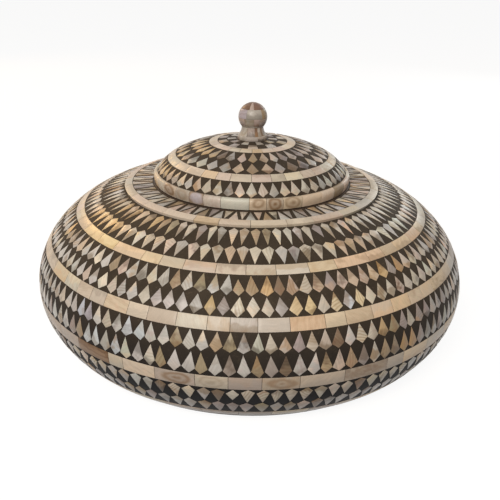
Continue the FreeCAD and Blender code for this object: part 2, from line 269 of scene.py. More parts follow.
resin, start = new_finish("dark_ground")
spot = start.node("TexCoord", output="Object")
speckle = spot.noise(1400.0, 2.0, 0.6)
smear = spot.noise(70.0, 4.0, 0.6)
dust = spot.noise(420.0, 3.0, 0.7).step(0.56, 0.75)
colour = start.node("ValToRGB", {"stops": resin_ramp}, {"Fac": smear * 0.6 + speckle * 0.4})
colour = colour.into(resin_dust, dust * 0.4)
# Painted shade: by height, the lower rings are mixed towards near black and the upper ones lightened, as less
# light reaches the lower bowl.
lit_share = spot.part("Z").step(painted_shade_below, unshaded_above)
colour = colour.lit(painted_light_gain).into(painted_shade_black, painted_shade_share * (1 - lit_share))
close_finish(start, {"Base Color": colour, "Roughness": resin_roughness + 0.25 * smear,
                     "Specular IOR Level": resin_gloss}, speckle * 0.5 + smear * 0.5, resin_relief)

shoulder_out = turn_at_radius(bowl_curve, shoulder_band_outer_radius)
edges = {name: band_edges(bowl_curve, band_turns[name], band_widths[name]) for name in band_turns}
field_turns = {
    "upper": (shoulder_out, edges["upper"][0]),
    "middle": (edges["upper"][1], edges["middle"][0]),
    "belly": (edges["middle"][1], edges["belly"][0]),
    "under": (edges["belly"][1], edges["foot"][0]),
}
ground_turns = {
    "upper": (shoulder_out, band_turns["upper"]),
    "middle": (band_turns["upper"], band_turns["middle"]),
    "belly": (band_turns["middle"], band_turns["belly"]),
    "under": (band_turns["belly"], edges["foot"][1]),
}
for name, (high, low) in ground_turns.items():
    ground_ring(name, curved_face(bowl_curve, high, low), "bowl")


# Kites on the bowl: eight rows of sawn mother of pearl, glued down one by one by hand, so
# that no two are quite alike. Each is flat, with its edges eased by the last smoothing.
# Every row has a seed of its own, from which its small differences are drawn.
kite_lift = 0.00025
kite_lift_spread = 0.00004
kite_lift_limits = (0.00014, 0.00032)
kite_tilt = 0.013
kite_sink = 0.0008
eased_edge = 0.00032
eased_drop = 0.00010
kite_place_spread = 0.06
kite_narrower = 0.14
kite_lean = 0.0005
kite_wide_spread = 0.0004
kite_tip_spread = 0.0003
kite_side_spread = 0.00025
kite_bow = 0.00007
kite_end_share = 0.012
broken_kites = 0.025
broken_share = 0.18
row_split = {"upper": 0.53, "middle": 0.51, "belly": 0.46, "under": 0.47}
# Level of each field's tones: lower down it is partly duller shell and partly painted shade, as less light
# reaches there.
row_tone_and_shade = {"upper": 1.0, "middle": 1.0, "belly": 0.96, "under": 0.86}
tones = {
    "cream": (0.555, 0.48, 0.385), "pale": (0.64, 0.575, 0.475), "silver": (0.515, 0.475, 0.435),
    "grey": (0.40, 0.36, 0.32), "sage": (0.53, 0.505, 0.42), "pink": (0.57, 0.455, 0.375),
    "peach": (0.56, 0.42, 0.30), "tan": (0.40, 0.29, 0.18), "gold": (0.55, 0.385, 0.20),
    "olive": (0.34, 0.26, 0.165), "brown": (0.22, 0.15, 0.095), "mauve": (0.34, 0.28, 0.25),
    # The glow tones are partly golden shell and partly a painted golden glint.
    "striped": (0.60, 0.53, 0.43), "glow": (0.70, 0.52, 0.30), "glow_striped": (0.68, 0.55, 0.37),
    "ice": (0.57, 0.58, 0.59), "rust": (0.42, 0.26, 0.13), "lilac": (0.52, 0.46, 0.50),
}
# Of each row: its field, its count, where its first kite stands in its cell, how far down it
# a kite is widest, how far a kite's sides reach in its cell, and the weights of its tones.
# Last come the kites laid in front as listed: the first one's place and the tones from there.
# Glow, gold and ice tones laid at the left are partly shell colour, partly painted glint: golden high,
# silvery low.
kite_rows = {
    "upper_kites_high": ("upper", 93, 0.20, 0.22, 0.93,
        dict(cream=9, pale=3, silver=3, pink=1, tan=1, grey=1), 54,
        "cream gold peach gold peach tan gold tan olive cream cream mauve cream grey cream cream tan"
        " olive pale pale silver cream mauve cream cream pink cream"),
    "upper_kites_low": ("upper", 93, 0.20, 0.21, 1.03,
        dict(cream=8, pale=4, silver=3, pink=1, sage=1, peach=0.6), 51,
        "cream peach gold glow gold glow gold peach cream pale cream cream pink silver pink pale cream"
        " peach cream cream pale silver grey pale cream cream peach tan peach cream"),
    "middle_kites_high": ("middle", 111, 0.53, 0.74, 1.02,
        dict(cream=5, silver=5, pink=3, peach=1.5, tan=1.5, gold=0.6, brown=0.4), 58,
        "cream silver cream silver gold tan cream silver peach silver silver cream silver olive pink"
        " silver grey cream silver tan silver olive silver silver tan tan gold brown pink cream peach"
        " mauve pink peach pink peach gold mauve rust pink cream pink cream"),
    "middle_kites_low": ("middle", 111, 0.53, 0.65, 1.0,
        dict(cream=5, pale=3, silver=4, pink=1.5, sage=0.6, tan=0.5), 58,
        "silver cream silver silver cream silver silver silver pale silver silver pink silver pale"
        " cream silver silver cream silver silver silver silver gold mauve pale pale cream grey glow"
        " glow cream glow_striped ice glow_striped cream cream cream pink cream"),
    "belly_kites_high": ("belly", 124, 0.70, 0.74, 1.04,
        dict(silver=5, cream=3, pink=3, mauve=1.5, pale=1, olive=0.6, tan=0.8), 68,
        "silver silver silver silver grey silver silver cream silver silver ice lilac silver cream"
        " silver ice ice silver silver olive silver silver tan olive silver sage cream pink mauve cream"
        " pink brown silver striped cream gold olive mauve cream mauve mauve grey grey mauve grey"),
    "belly_kites_low": ("belly", 124, 0.70, 0.73, 1.04,
        dict(silver=4, grey=3, mauve=3, cream=2, olive=1.2, brown=1, tan=1), 68,
        "silver silver grey silver silver mauve silver silver silver mauve olive ice ice grey ice sage"
        " silver pale olive silver silver olive silver mauve silver tan mauve brown silver silver tan"
        " pink tan mauve pale tan olive rust rust mauve grey grey mauve grey grey"),
    "under_kites_high": ("under", 114, 0.52, 0.27, 0.95,
        dict(cream=5, silver=4, striped=4, grey=1.5, brown=0.7), 82,
        "silver brown pale striped striped striped cream striped cream"),
    "under_kites_low": ("under", 114, 0.52, 0.26, 1.0,
        dict(mauve=4, grey=4, silver=1.5, olive=1.5, tan=1, brown=1), 81,
        "silver tan mauve mauve mauve olive grey olive pink brown"),
}
tint_spread = 0.06
hue_spread = 0.012
tone_limits = (0.02, 0.85)
shade_range = (-0.58, 0.34)
browner_power = 1.6
browning = (0.0, 0.16, 0.36)
lean_spread = 0.28
striped_lines = (0.7, 1.0)
plain_lines = 0.7
least_play = 0.1
stained_share = 0.14
stain_range = (0.4, 1.0)
grain_units = 100
grain_shift = 40
line_brown = (0.55, 0.42, 0.30, 1)
line_tan = (0.86, 0.80, 0.72, 1)
play_pink = (1.00, 0.88, 0.90, 1)
play_green = (0.92, 1.00, 0.93, 1)
stain_brown = (0.27, 0.16, 0.075, 1)
eye_brown = (0.22, 0.125, 0.06, 1)
border_brown = (0.30, 0.20, 0.12, 1)
streak_scale = (1.4, 9.0, 1.0)
eye_scale = (4.4, 4.0, 1.0)
eye_warp = 4.5
eye_pace = 2.2
eye_start = 1.57
pearl_coat = 0.07
pearl_coat_roughness = 0.15
pearl_gloss = 0.22
pearl_relief = 0.00006


def pick_tones(mix, count, random, contrast=1.0, by_hand=(0, ""), level=1.0):
    """Tint, second tone and marks of each piece of a row, each a little off its tone.

    Tones are drawn by their weights, but for a listed run of pieces. A level below one darkens
    a row: partly duller shell and, on the bowl's lower rows, partly painted shade. The second
    tone is the first made lighter, darker or browner, and its fourth value is how far it leans
    to one end. The marks are the strength of growth lines, of pink and green play and of stain.
    """
    weights = np.array(list(mix.values()), float)
    picked = [list(mix)[one] for one in random.choice(len(mix), count, p=weights / weights.sum())]
    for step, name in enumerate(by_hand[1].split()):
        picked[(by_hand[0] + step) % count] = name
    tints = np.array([tones[name] for name in picked]) * (1 + random.normal(0, tint_spread, (count, 1)))
    tints = tints * (1 + random.normal(0, hue_spread, (count, 3))) * level
    browner = random.random((count, 1)) ** browner_power * contrast
    shades = tints * (1 + contrast * random.uniform(*shade_range, (count, 1)))
    shades = np.clip(shades * (1 - browner * browning), *tone_limits)
    lean = random.normal(0, lean_spread, (count, 1))
    striped = np.array([name.endswith("striped") for name in picked])
    lines = np.where(striped, random.uniform(*striped_lines, count),
                     plain_lines * contrast * random.random(count) ** 3)
    play = least_play + (1 - least_play) * random.random(count) ** 2
    play = play * (least_play + (1 - least_play) * contrast)
    stained = random.random(count) < stained_share
    stain = contrast * np.where(stained, random.uniform(*stain_range, count), 0.0)
    return (np.clip(tints, *tone_limits), np.concatenate((shades, lean), axis=1),
            np.stack((lines, play, stain), axis=-1))


def shell_mesh(name, points, faces, flat, reach, colours, material, random, eye=None):
    """Mesh of many like pieces, from arrays of their points and one piece's faces.

    points is (pieces, points, 3), and flat is each point's place on its own piece in metres,
    (pieces, points, 2). The grain map is that place turned and shifted at random, a unit to
    10 mm, as each piece comes from another part of a shell. The place map is the place as a
    share of the piece's own reach, half its size, from -1 to 1.
    """
    count, size = points.shape[:2]
    every = [[corner + size * place for corner in face] for place in range(count) for face in faces]
    mesh = bpy.data.meshes.new(name)
    mesh.from_pydata(points.reshape(-1, 3).tolist(), [], every)
    angle = random.uniform(0, 2 * math.pi, (count, 1))
    shift = random.uniform(-grain_shift, grain_shift, (count, 1, 2))
    across, along = flat[..., 0] * grain_units, flat[..., 1] * grain_units
    grain = np.stack((across * np.cos(angle) - along * np.sin(angle),
                      across * np.sin(angle) + along * np.cos(angle)), axis=-1) + shift
    corners = np.empty(len(mesh.loops), int)
    mesh.loops.foreach_get("vertex_index", corners)
    for layer, values in (("grain", grain), ("place", flat / reach[:, None])):
        values = values.reshape(-1, 2)[corners]
        mesh.uv_layers.new(name=layer).data.foreach_set("uv", values.ravel())
    tints, shades, marks = colours
    tints = np.concatenate((tints, np.ones((count, 1))), axis=1)
    eye = np.zeros(count) if eye is None else eye
    for layer, kind, slot, values in (
            ("tint", "FLOAT_COLOR", "color", tints), ("shade", "FLOAT_COLOR", "color", shades),
            ("marks", "FLOAT_VECTOR", "vector", marks), ("eye", "FLOAT", "value", eye)):
        held = mesh.attributes.new(layer, kind, "POINT")
        held.data.foreach_set(slot, np.repeat(values, size, axis=0).ravel())
    finish_mesh(mesh, material)
    return mesh


def lay_pieces(name, body, face, centres, outlines, colours, random):
    """Flat pieces on a face, as a piece. Outlines are (pieces, corners, 2), across and down.

    Each piece has its outline sunk in the ground, its outline at the top, the same drawn in
    by the eased edge, and a middle. A point is at azimuth centre + across / r and at its
    share of the way down the face, lifted by the piece's lift and its small tilt, and
    kept between two heights, as the whole is smoothed at the end.
    """
    point, length = face
    count, corners = outlines.shape[:2]
    middle = outlines.mean(axis=1, keepdims=True)
    inward = middle - outlines
    eased = outlines + inward * np.minimum(eased_edge / np.linalg.norm(inward, axis=2, keepdims=True), 0.5)
    flat = np.concatenate((outlines, outlines, eased, middle), axis=1)
    tilt = random.normal(0, kite_tilt, (count, 1, 2))
    own_lift = kite_lift + random.normal(0, kite_lift_spread, (count, 1))
    own_lift = np.clip(own_lift + ((flat - middle) * tilt).sum(axis=2), *kite_lift_limits)
    own_lift[:, corners:2 * corners] -= eased_drop
    own_lift[:, :corners] = -kite_sink
    radius, height = point(flat[..., 1] / length, own_lift)
    points = about_axis(radius, height, centres[:, None] + flat[..., 0] / radius)
    faces = [list(range(corners))[::-1]]
    for one in range(corners):
        two = (one + 1) % corners
        for low in (0, corners):
            faces.append([low + one, low + two, low + corners + two, low + corners + one])
        faces.append([2 * corners + one, 2 * corners + two, 3 * corners])
    flat = flat - middle
    reach = np.abs(flat).max(axis=1)
    mesh = shell_mesh(name + "_inlay", points, faces, flat, reach, colours, pearl, random)
    add_piece(mesh, body, name)


def with_middles(across, down, bow, random):
    """Outlines from each corner's place across and down, with a point between each two corners.

    That point is halfway between them, and off the straight line by a little random bow.
    """
    corners = np.stack((across, down), axis=-1).swapaxes(0, 1)
    middles = (corners + np.roll(corners, -1, axis=1)) / 2 + random.normal(0, bow, corners.shape)
    return np.stack((corners, middles), axis=2).reshape(len(corners), -1, 2)


def uneven(count, start_share, spread, random):
    """Azimuths round the axis, spaced nearly alike, and the angles to the pieces beside each.

    The azimuth of piece n is a full circle times (n + start + a small random part) / count.
    """
    places = np.arange(count) + start_share + random.normal(0, spread, count)
    azimuth = places * 2 * math.pi / count
    after = (np.roll(azimuth, -1) - azimuth) % (2 * math.pi)
    return azimuth, np.roll(after, 1), after


def kite_outlines(length, radius, before, after, wide_share, side_share, random):
    """Hand-sawn kites: tip, left side, end and right side, each a little off its place.

    A side is half the angle to the next kite times the radius and the side share away, and
    few kites have lost a bit of their narrow end.
    """
    count = len(before)
    narrower = 1 - kite_narrower * random.random((2, count))
    left, right = np.array((before, after)) * radius / 2 * side_share * narrower
    lean = random.normal(0, kite_lean, (count, 2))
    widest = wide_share * length + random.normal(0, kite_wide_spread, count)
    top = kite_end_share * length + np.abs(random.normal(0, kite_tip_spread, count))
    foot = (1 - kite_end_share) * length - np.abs(random.normal(0, kite_tip_spread, count))
    broken = random.random(count) < broken_kites
    top = np.where(broken & (wide_share > 0.5), top + broken_share * length, top)
    foot = np.where(broken & (wide_share < 0.5), foot - broken_share * length, foot)
    left_down, right_down = widest + random.normal(0, kite_side_spread, (2, count))
    return with_middles((lean[:, 0], -left, lean[:, 1], right), (top, left_down, foot, right_down),
                        kite_bow, random)


def lay_kites(name, body, face, row, spread, level, random):
    """A row of kites on a face, as a piece. row is what the table says of it from its count on."""
    count, start_share, wide_share, side_share, mix, *by_hand = row
    centres, before, after = uneven(count, start_share, spread, random)
    radius = face[0](wide_share, 0.0)[0]
    outlines = kite_outlines(face[1], radius, before, after, wide_share, side_share, random)
    colours = pick_tones(mix, count, random, by_hand=by_hand, level=level)
    lay_pieces(name, body, face, centres, outlines, colours, random)


def pearl_finish(name, roughness, line_scale, cloud_depth):
    """Mother of pearl: two tones in clouds, streaks, growth lines, play of colour and stains.

    The second tone comes where slow noise is high and towards the end that the piece leans
    to. Streaks are noise drawn out along the grain. Growth lines are the sine of the way
    across the grain, warped by noise. The play goes pink where noise is high and green where
    it is low. Where the eye's strength is above zero there are rings round the middle, and
    where it is below zero a brown border takes their place.
    """
    material, start = new_finish(name)
    grain, place = (start.node("UVMap", {"uv_map": layer}) for layer in ("grain", "place"))
    tint, shade, lean, marks, eye = (
        start.node("Attribute", {"attribute_name": layer}, output=output) for layer, output in (
            ("tint", "Color"), ("shade", "Color"), ("shade", "Alpha"), ("marks", "Vector"), ("eye", "Fac")))
    lines, play, stain = (marks.part(axis) for axis in "XYZ")
    way, along = grain.part("Y"), place.part("Y")
    cloud = grain.noise(1.5, 3.0, 0.55)
    warp = grain.noise(0.9)
    patch = (grain.noise(1.2, 2.5) + along * lean).step(0.44, 0.64)
    streak = start.node("Mapping", {}, {"Vector": grain, "Scale": streak_scale}).noise(1.0, 3.0, 0.6)
    bold = (way * line_scale + warp * 16.0).wave()
    fine = (way * line_scale * 3.7 + warp * 30.0).wave()
    mottle = grain.noise(14.0, 2.0, 0.6)
    colour = tint.into(shade, patch)
    colour = colour.lit((1 - cloud_depth) + 2 * cloud_depth * streak)
    colour = colour.lit(0.9 + 0.2 * mottle)
    colour = colour.into(line_brown, bold * bold * lines * 0.7, "MULTIPLY")
    colour = colour.into(line_tan, fine * (0.06 + 0.6 * lines), "MULTIPLY")
    hue = grain.noise(2.4, 1.0)
    colour = colour.into(play_pink, hue.step(0.50, 0.64) * play * 0.6, "MULTIPLY")
    colour = colour.into(play_green, hue.step(0.48, 0.36) * play * 0.35, "MULTIPLY")
    blot = grain.noise(0.85, 2.5).step(0.50, 0.62) * stain
    colour = colour.into(stain_brown, blot * 0.75)
    oval = start.node("Mapping", {}, {"Vector": place, "Scale": eye_scale})
    out = start.node("VectorMath", {"operation": "LENGTH"}, {0: oval}, "Value")
    out = out + (warp - 0.5) * eye_warp
    ring = (out * eye_pace + eye_start).wave() * out.step(6.5, 2.5) * 0.65 + out.step(6.0, 0.5) * 0.35
    colour = colour.into(eye_brown, ring * eye)
    colour = colour.into(border_brown, out.step(2.4, 4.6) * (0 - eye))
    close_finish(start, {
        "Base Color": colour, "Roughness": roughness + 0.18 * cloud, "Coat Weight": pearl_coat,
        "Coat Roughness": pearl_coat_roughness, "Specular IOR Level": pearl_gloss},
        bold * 0.4 + fine * 0.2 + mottle * 0.4, pearl_relief)
    return material


pearl = pearl_finish("pearl_kites", roughness=0.26, line_scale=30.0, cloud_depth=0.28)
for place, (name, (field, *row)) in enumerate(kite_rows.items()):
    high, low = field_turns[field]
    line = high + (low - high) * row_split[field]
    turns = (high, line) if name.endswith("high") else (line, low)
    lay_kites(name, "bowl", curved_face(bowl_curve, *turns), row, kite_place_spread,
              row_tone_and_shade[field], np.random.default_rng(20 + place))


# Bands on the bowl: four rings of long shell plates, sawn to the curve and butted with
# hairline joints. The plates differ in length, and some carry a brown stain of the shell.
plate_lift = 0.00028
plate_joint = 0.0003
plate_eased = 0.0005
plate_drop = 0.00012
plate_shown_points = 5
plate_length_spread = 0.3
band_contrast = 0.5
plate_tones = dict(plate_cream=5, plate_pink=4, plate_pale=3, plate_yellow=1.5, plate_peach=1.5, plate_grey=1)
tones.update({
    "plate_cream": (0.62, 0.515, 0.395), "plate_pink": (0.62, 0.50, 0.395),
    "plate_pale": (0.62, 0.545, 0.44), "plate_yellow": (0.67, 0.515, 0.35),
    "plate_amber": (0.69, 0.50, 0.33), "plate_brown_striped": (0.27, 0.165, 0.095),
    "plate_peach": (0.64, 0.50, 0.36), "plate_grey": (0.57, 0.50, 0.415),
    "plate_gold": (0.69, 0.52, 0.30), "plate_mauve": (0.43, 0.355, 0.295),
    "plate_tan": (0.46, 0.37, 0.285), "plate_dull": (0.49, 0.415, 0.335),
})
# Of each band: its count, its level, its joints in front in degrees to the right of the middle,
# the place of the first plate laid there as listed, and the tones from there.
# The gold plates at the left of the upper band are partly shell colour and partly a painted golden glint.
band_rows = {
    "upper": (46, 1.0, (-68, -60, -50, -42, -31, -25, -18, -9, -1, 7, 16, 24, 35, 41, 47, 56), 0,
        "yellow gold gold yellow yellow cream pink cream cream pale yellow amber amber yellow amber"
        " amber yellow pale pale pale"),
    "middle": (57, 0.95, (-23, -16, -9, -4, 2, 9, 17, 22, 29, 35, 41, 46), 0,
        "cream pale cream grey grey amber peach yellow peach amber peach peach yellow peach grey"
        " dull mauve"),
    "belly": (48, 1.0, (-50, -42, -32, -28, -20, -11, -4, 3, 11, 21, 32, 37), -3,
        "tan mauve tan mauve brown_striped dull cream mauve dull mauve tan dull tan dull"),
    "foot": (42, 0.9, (-20, -11, -2, 6, 15, 23), 0, "mauve tan mauve cream mauve"),
}
belly_front_eyes = (0.0, 0.0, 0.0, 0.0, 0.9, 0.3, 0.0, 0.7, 0.0, 0.5)


def band_sections(face, lift, depth=ground_depth):
    """Two closed sections of a band, for a plate's middle and for its eased ends.

    Each is (points, 2) of radius and height. It goes down the face at its lift, less the
    drop at both edges, and back at its depth. The end's points are the drop lower.
    """
    point, length = face
    share = plate_eased / length
    down = np.array([0, share, 0.5, 1 - share, 1, 1, 0])
    top = np.array([-plate_drop, 0, 0, 0, -plate_drop])
    lifts = [np.append(lift + np.minimum(top, -lower), (-depth, -depth)) for lower in (0.0, plate_drop)]
    return [np.stack(point(down, one), axis=-1) for one in lifts]


def lay_plates(name, body, node, sections, joints, colours, random, steps, eye=None,
               shown=plate_shown_points, gap=plate_joint, slot="plate_shell"):
    """Plates round the axis between joints, as a piece: each is one section carried along an arc.

    joints are the azimuths where plates meet. A plate's columns are its end, a step in by
    the eased edge, equal steps, and the same again, with flat caps at both ends. The first
    points of a section are the shown ones, and a plate's own middle is halfway along them.
    """
    middle, end = sections
    size = len(middle)
    count = len(joints) - 1
    outer = middle[:, 0].max()
    first = joints[:-1] + gap / 2 / outer
    last = joints[1:] - gap / 2 / outer
    eased = plate_eased / outer
    inner = first[:, None] + eased + (last - first - 2 * eased)[:, None] * np.linspace(0, 1, steps + 1)
    azimuth = np.concatenate((first[:, None], inner, last[:, None]), axis=1)
    columns = azimuth.shape[1]
    section = np.repeat(middle[None], columns, axis=0)
    section[[0, -1]] = end
    radius, height = section[..., 0][None], section[..., 1][None]
    turn = azimuth[:, :, None]
    points = about_axis(radius, height, turn)
    way = np.concatenate(([0], np.hypot(*np.diff(middle, axis=0).T).cumsum()))
    across = (turn - azimuth.mean(axis=1)[:, None, None]) * radius
    half = way[shown - 1] / 2
    flat = np.stack((across, way - half + 0 * across), axis=-1)
    reach = np.stack(((last - first) * outer / 2, np.full(count, half)), axis=-1)
    faces = [list(range(size))[::-1], [(columns - 1) * size + corner for corner in range(size)]]
    for column in range(columns - 1):
        for corner in range(size):
            one, two = column * size + corner, column * size + (corner + 1) % size
            faces.append([one, two, two + size, one + size])
    material = plate_pearl if slot == "plate_shell" else knob_pearl
    mesh = shell_mesh(name, points.reshape(count, -1, 3), faces, flat.reshape(count, -1, 2),
                      reach, colours, material, random, eye)
    add_piece(mesh, body, node)


def uneven_joints(count, spread, random, front=(0,)):
    """Azimuths of the joints of a ring of plates of uneven length, the last one the first.

    The joints in front are given, in degrees to the right of the middle. The rest
    of the circle is shared out by lengths of one plus or minus a random part.
    """
    front = np.radians(np.array(front, float)) - math.pi / 2
    lengths = 1 + random.uniform(-spread, spread, count - len(front) + 1)
    rest = 2 * math.pi - (front[-1] - front[0])
    return np.concatenate((front, front[-1] + rest * lengths.cumsum() / lengths.sum()))


plate_pearl = pearl_finish("pearl_plates", roughness=0.30, line_scale=14.0, cloud_depth=0.18)
for place, (name, (count, level, front_joints, first, front)) in enumerate(band_rows.items()):
    random = np.random.default_rng(40 + place)
    front = " ".join("plate_" + tone for tone in front.split())
    colours = pick_tones(plate_tones, count, random, band_contrast, (first, front), level)
    joints = uneven_joints(count, plate_length_spread, random, front_joints)
    eye = np.zeros(count)
    if name == "belly":
        eye[:len(belly_front_eyes)] = belly_front_eyes
    sections = band_sections(curved_face(bowl_curve, *edges[name]), plate_lift)
    lay_plates(name + "_band_plates", "bowl", name + "_band", sections, joints, colours, random,
               steps=8, eye=eye)


# Shoulder: a flat disc of ground round the lid, with long thin triangles of shell that point
# in and out by turns, and a band of plates at its edge that slopes down to the first row.
seat_height = 0.1272
shoulder_top = seat_height - 0.0002
shoulder_inner_radius = 0.0810
shoulder_band_inner_radius = 0.0980
shoulder_band_top = seat_height + 0.0002
shoulder_band_foot = seat_height - 0.0014
shoulder_band_depth = 0.0022
shoulder_plate_count = 28
triangle_count = 50
triangle_side_share = 0.56
triangle_ends = (0.04, 0.97)
triangle_place_spread = 0.03
triangle_tip_spread = 0.0003
small_bow = 0.00005
triangle_rows = (("shoulder_triangles_out", 0.0, True), ("shoulder_triangles_in", 0.5, False))
triangle_tones = dict(cream=5, silver=3.5, grey=3, mauve=1, pink=1.5, tan=1.2, olive=0.8)
even_contrast = 0.3


def straight_face(high, low):
    """Straight face between two points of a section, high + (low - high) s, lifted along its normal."""
    high, low = np.array(high), np.array(low)
    length = math.dist(high, low)
    along = (low - high) / length

    def point(share, lift):
        radius = high[0] + (low - high)[0] * share - lift * along[1]
        return radius, high[1] + (low - high)[1] * share + lift * along[0]

    return point, length


shoulder = straight_face((shoulder_inner_radius, shoulder_top), (shoulder_band_inner_radius, shoulder_top))
ground_ring("shoulder", shoulder, "bowl")
for place, (name, start_share, tip_out) in enumerate(triangle_rows):
    random = np.random.default_rng(60 + place)
    centres, before, after = uneven(triangle_count, start_share, triangle_place_spread, random)
    wide = (shoulder_inner_radius if tip_out else shoulder_band_inner_radius) * triangle_side_share
    left, right = -before * wide / 2, after * wide / 2
    base, tip = np.array(triangle_ends if tip_out else triangle_ends[::-1]) * shoulder[1]
    off = random.normal(0, triangle_tip_spread, triangle_count)
    sides = (right, left) if tip_out else (left, right)
    down = (tip + off, base + 0 * off, base + 0 * off)
    outlines = with_middles((off, *sides), down, small_bow, random)
    colours = pick_tones(triangle_tones, triangle_count, random)
    lay_pieces(name, "bowl", shoulder, centres, outlines, colours, random)

random = np.random.default_rng(65)
slope = straight_face((shoulder_band_inner_radius, shoulder_band_top),
                      (shoulder_band_outer_radius, shoulder_band_foot))
sections = band_sections(slope, 0.0, shoulder_band_depth)
colours = pick_tones(plate_tones, shoulder_plate_count, random, even_contrast)
joints = uneven_joints(shoulder_plate_count, plate_length_spread, random)
lay_plates("shoulder_band_plates", "bowl", "shoulder_band", sections, joints, colours, random, steps=6)


# Lid: a low dome of wood under three rings of dark ground, which hold three rows of kites
# and, round the knob, two rings of wedges. The bands of plates cover the rings' edges.
lid_radius = 0.0792
lid_height = seat_height + 0.0021
lid_rise = 0.0325
lid_curve = (0.0, lid_height, lid_radius, lid_rise, lid_rise)
lid_turns = {name: turn_at_radius(lid_curve, radius) for name, radius in (
    ("crown", 0.0127), ("crown_band_in", 0.0284), ("crown_band_out", 0.0351),
    ("band_in", 0.0624), ("band_out", 0.0686), ("edge", 0.0774))}
lid_overlap = 0.0032
lid_fields = (
    ("lid_lower", "band_out", "edge"), ("lid_upper", "crown_band_out", "band_in"),
    ("crown", "crown", "crown_band_in"))


def lid_face(high, low):
    """Face of the lid between two of its named turns."""
    return curved_face(lid_curve, lid_turns[high], lid_turns[low])


for name, high, low in lid_fields:
    face = lid_face(high, low)
    overlap = lid_overlap / face[1]
    start_share = 0.0 if name == "crown" else -overlap
    end_share = 1.0 if name == "lid_lower" else 1 + overlap
    ground_ring(name, face, "lid", start_share, end_share)

lid_place_spread = 0.05
lid_line_share = 0.51
lid_turns["line"] = (lid_turns["crown_band_out"]
                     + lid_line_share * (lid_turns["band_in"] - lid_turns["crown_band_out"]))
# Of each row: its edges, its level, and the rest as for the bowl's rows.
# The glow and gold tones laid at the left are partly shell colour and partly a painted golden glint.
lid_rows = {
    "lid_kites_high": ("crown_band_out", "line", 0.84, 34, 0.55, 0.70, 0.90,
        dict(mauve=3, grey=3, pink=2, tan=2, silver=2, cream=1), 16,
        "gold glow gold glow gold tan brown silver pink tan peach silver mauve pink mauve"),
    "lid_kites_low": ("line", "band_in", 0.84, 34, 0.55, 0.63, 0.92,
        dict(pink=3, silver=3, tan=1.5, peach=1.5, grey=2, cream=2), 16,
        "glow gold glow peach sage sage silver grey peach tan peach grey brown mauve silver"),
    "lid_lower_kites": ("band_out", "edge", 0.88, 56, 0.0, 0.70, 0.98,
        dict(cream=6, pale=2, silver=3, grey=1.5, pink=1, sage=0.7), 29,
        "glow gold glow gold peach cream pale silver peach cream cream grey pink pale cream grey cream"
        " cream pale cream grey sage"),
}
for place, (name, (high, low, level, *row)) in enumerate(lid_rows.items()):
    lay_kites(name, "lid", lid_face(high, low), row, lid_place_spread, level,
              np.random.default_rng(70 + place))

wedge_cells = 20
wedge_ends = (0.07, 0.93)
wedge_side_share = 0.9
wedge_place_spread = 0.02
wedge_corner_spread = 0.0002
lid_turns["crown_line"] = (lid_turns["crown"] + lid_turns["crown_band_in"]) / 2
crown_rows = (("crown_wedges_inner", "crown", "crown_line", 0.0),
              ("crown_wedges_outer", "crown_line", "crown_band_in", 0.5))
crown_tones = dict(silver=3, grey=3, mauve=2, cream=2, olive=1, gold=0.5)
for place, (name, high, low, start_share) in enumerate(crown_rows):
    random = np.random.default_rng(80 + place)
    face = lid_face(high, low)
    count = wedge_cells // 2
    centres, before, after = uneven(count, start_share, wedge_place_spread, random)
    down = np.repeat(wedge_ends, 2)
    half = face[0](down, 0.0)[0] * math.pi / wedge_cells * wedge_side_share
    across = half * (1, -1, -1, 1)
    off = random.normal(0, wedge_corner_spread, (count, 4, 2))
    outlines = with_middles((across + off[..., 0]).T, (down * face[1] + off[..., 1]).T, small_bow, random)
    colours = pick_tones(crown_tones, count, random)
    lay_pieces(name, "lid", face, centres, outlines, colours, random)


# Bands on the lid: a ring of small plates round the crown and one above the rim, sawn and
# laid as those on the bowl are, and all of nearly the same pale shell.
lid_bands = (("crown_band", "crown_band_in", "crown_band_out", 20), ("lid_band", "band_in", "band_out", 30))
for place, (name, high, low, count) in enumerate(lid_bands):
    random = np.random.default_rng(85 + place)
    joints = uneven_joints(count, plate_length_spread, random)
    colours = pick_tones(plate_tones, count, random, even_contrast)
    sections = band_sections(lid_face(high, low), plate_lift)
    lay_plates(name + "_plates", "lid", name, sections, joints, colours, random, steps=4)


# Rim of the lid: upright plates round its edge, filed to a slight bulge once they are glued
# on. Some show the eye of the shell, as rings of brown, and one has a brown border.
rim_plate_count = 35
rim_radius = 0.0809
rim_foot_radius = 0.0795
rim_clearance = 0.0007
rim_bulge_out = 0.0015
rim_bulge_up = 0.0002
rim_length_spread = 0.25
rim_contrast = 0.4
rim_eye_share = 0.25
rim_eye_range = (0.5, 1.0)
rim_joints = (-57, -45, -35, -26, -16, -1, 8, 17, 28, 41, 52, 64)
rim_tones = dict(plate_cream=5, plate_pale=2, plate_yellow=2, plate_pink=2, rim_green=1, rim_blue=0.5)
rim_front_tones = ("plate_tan plate_dull rim_blue plate_grey rim_green plate_peach plate_tan plate_peach"
                   " plate_peach plate_pink tan")
rim_front_eyes = (1.0, 0.5, -0.9, 0.15, 0.0, 0.8, 1.0, 0.7, 0.0, 0.0, 0.2)
tones.update({"rim_blue": (0.50, 0.46, 0.49), "rim_green": (0.58, 0.56, 0.46)})


def bent_line(start, bend, end, steps):
    """Points of a bent line of a section: (1 - s)^2 start + 2 s (1 - s) bend + s^2 end."""
    way = np.linspace(0, 1, steps + 1)[:, None]
    return (1 - way) ** 2 * start + 2 * way * (1 - way) * bend + way ** 2 * end


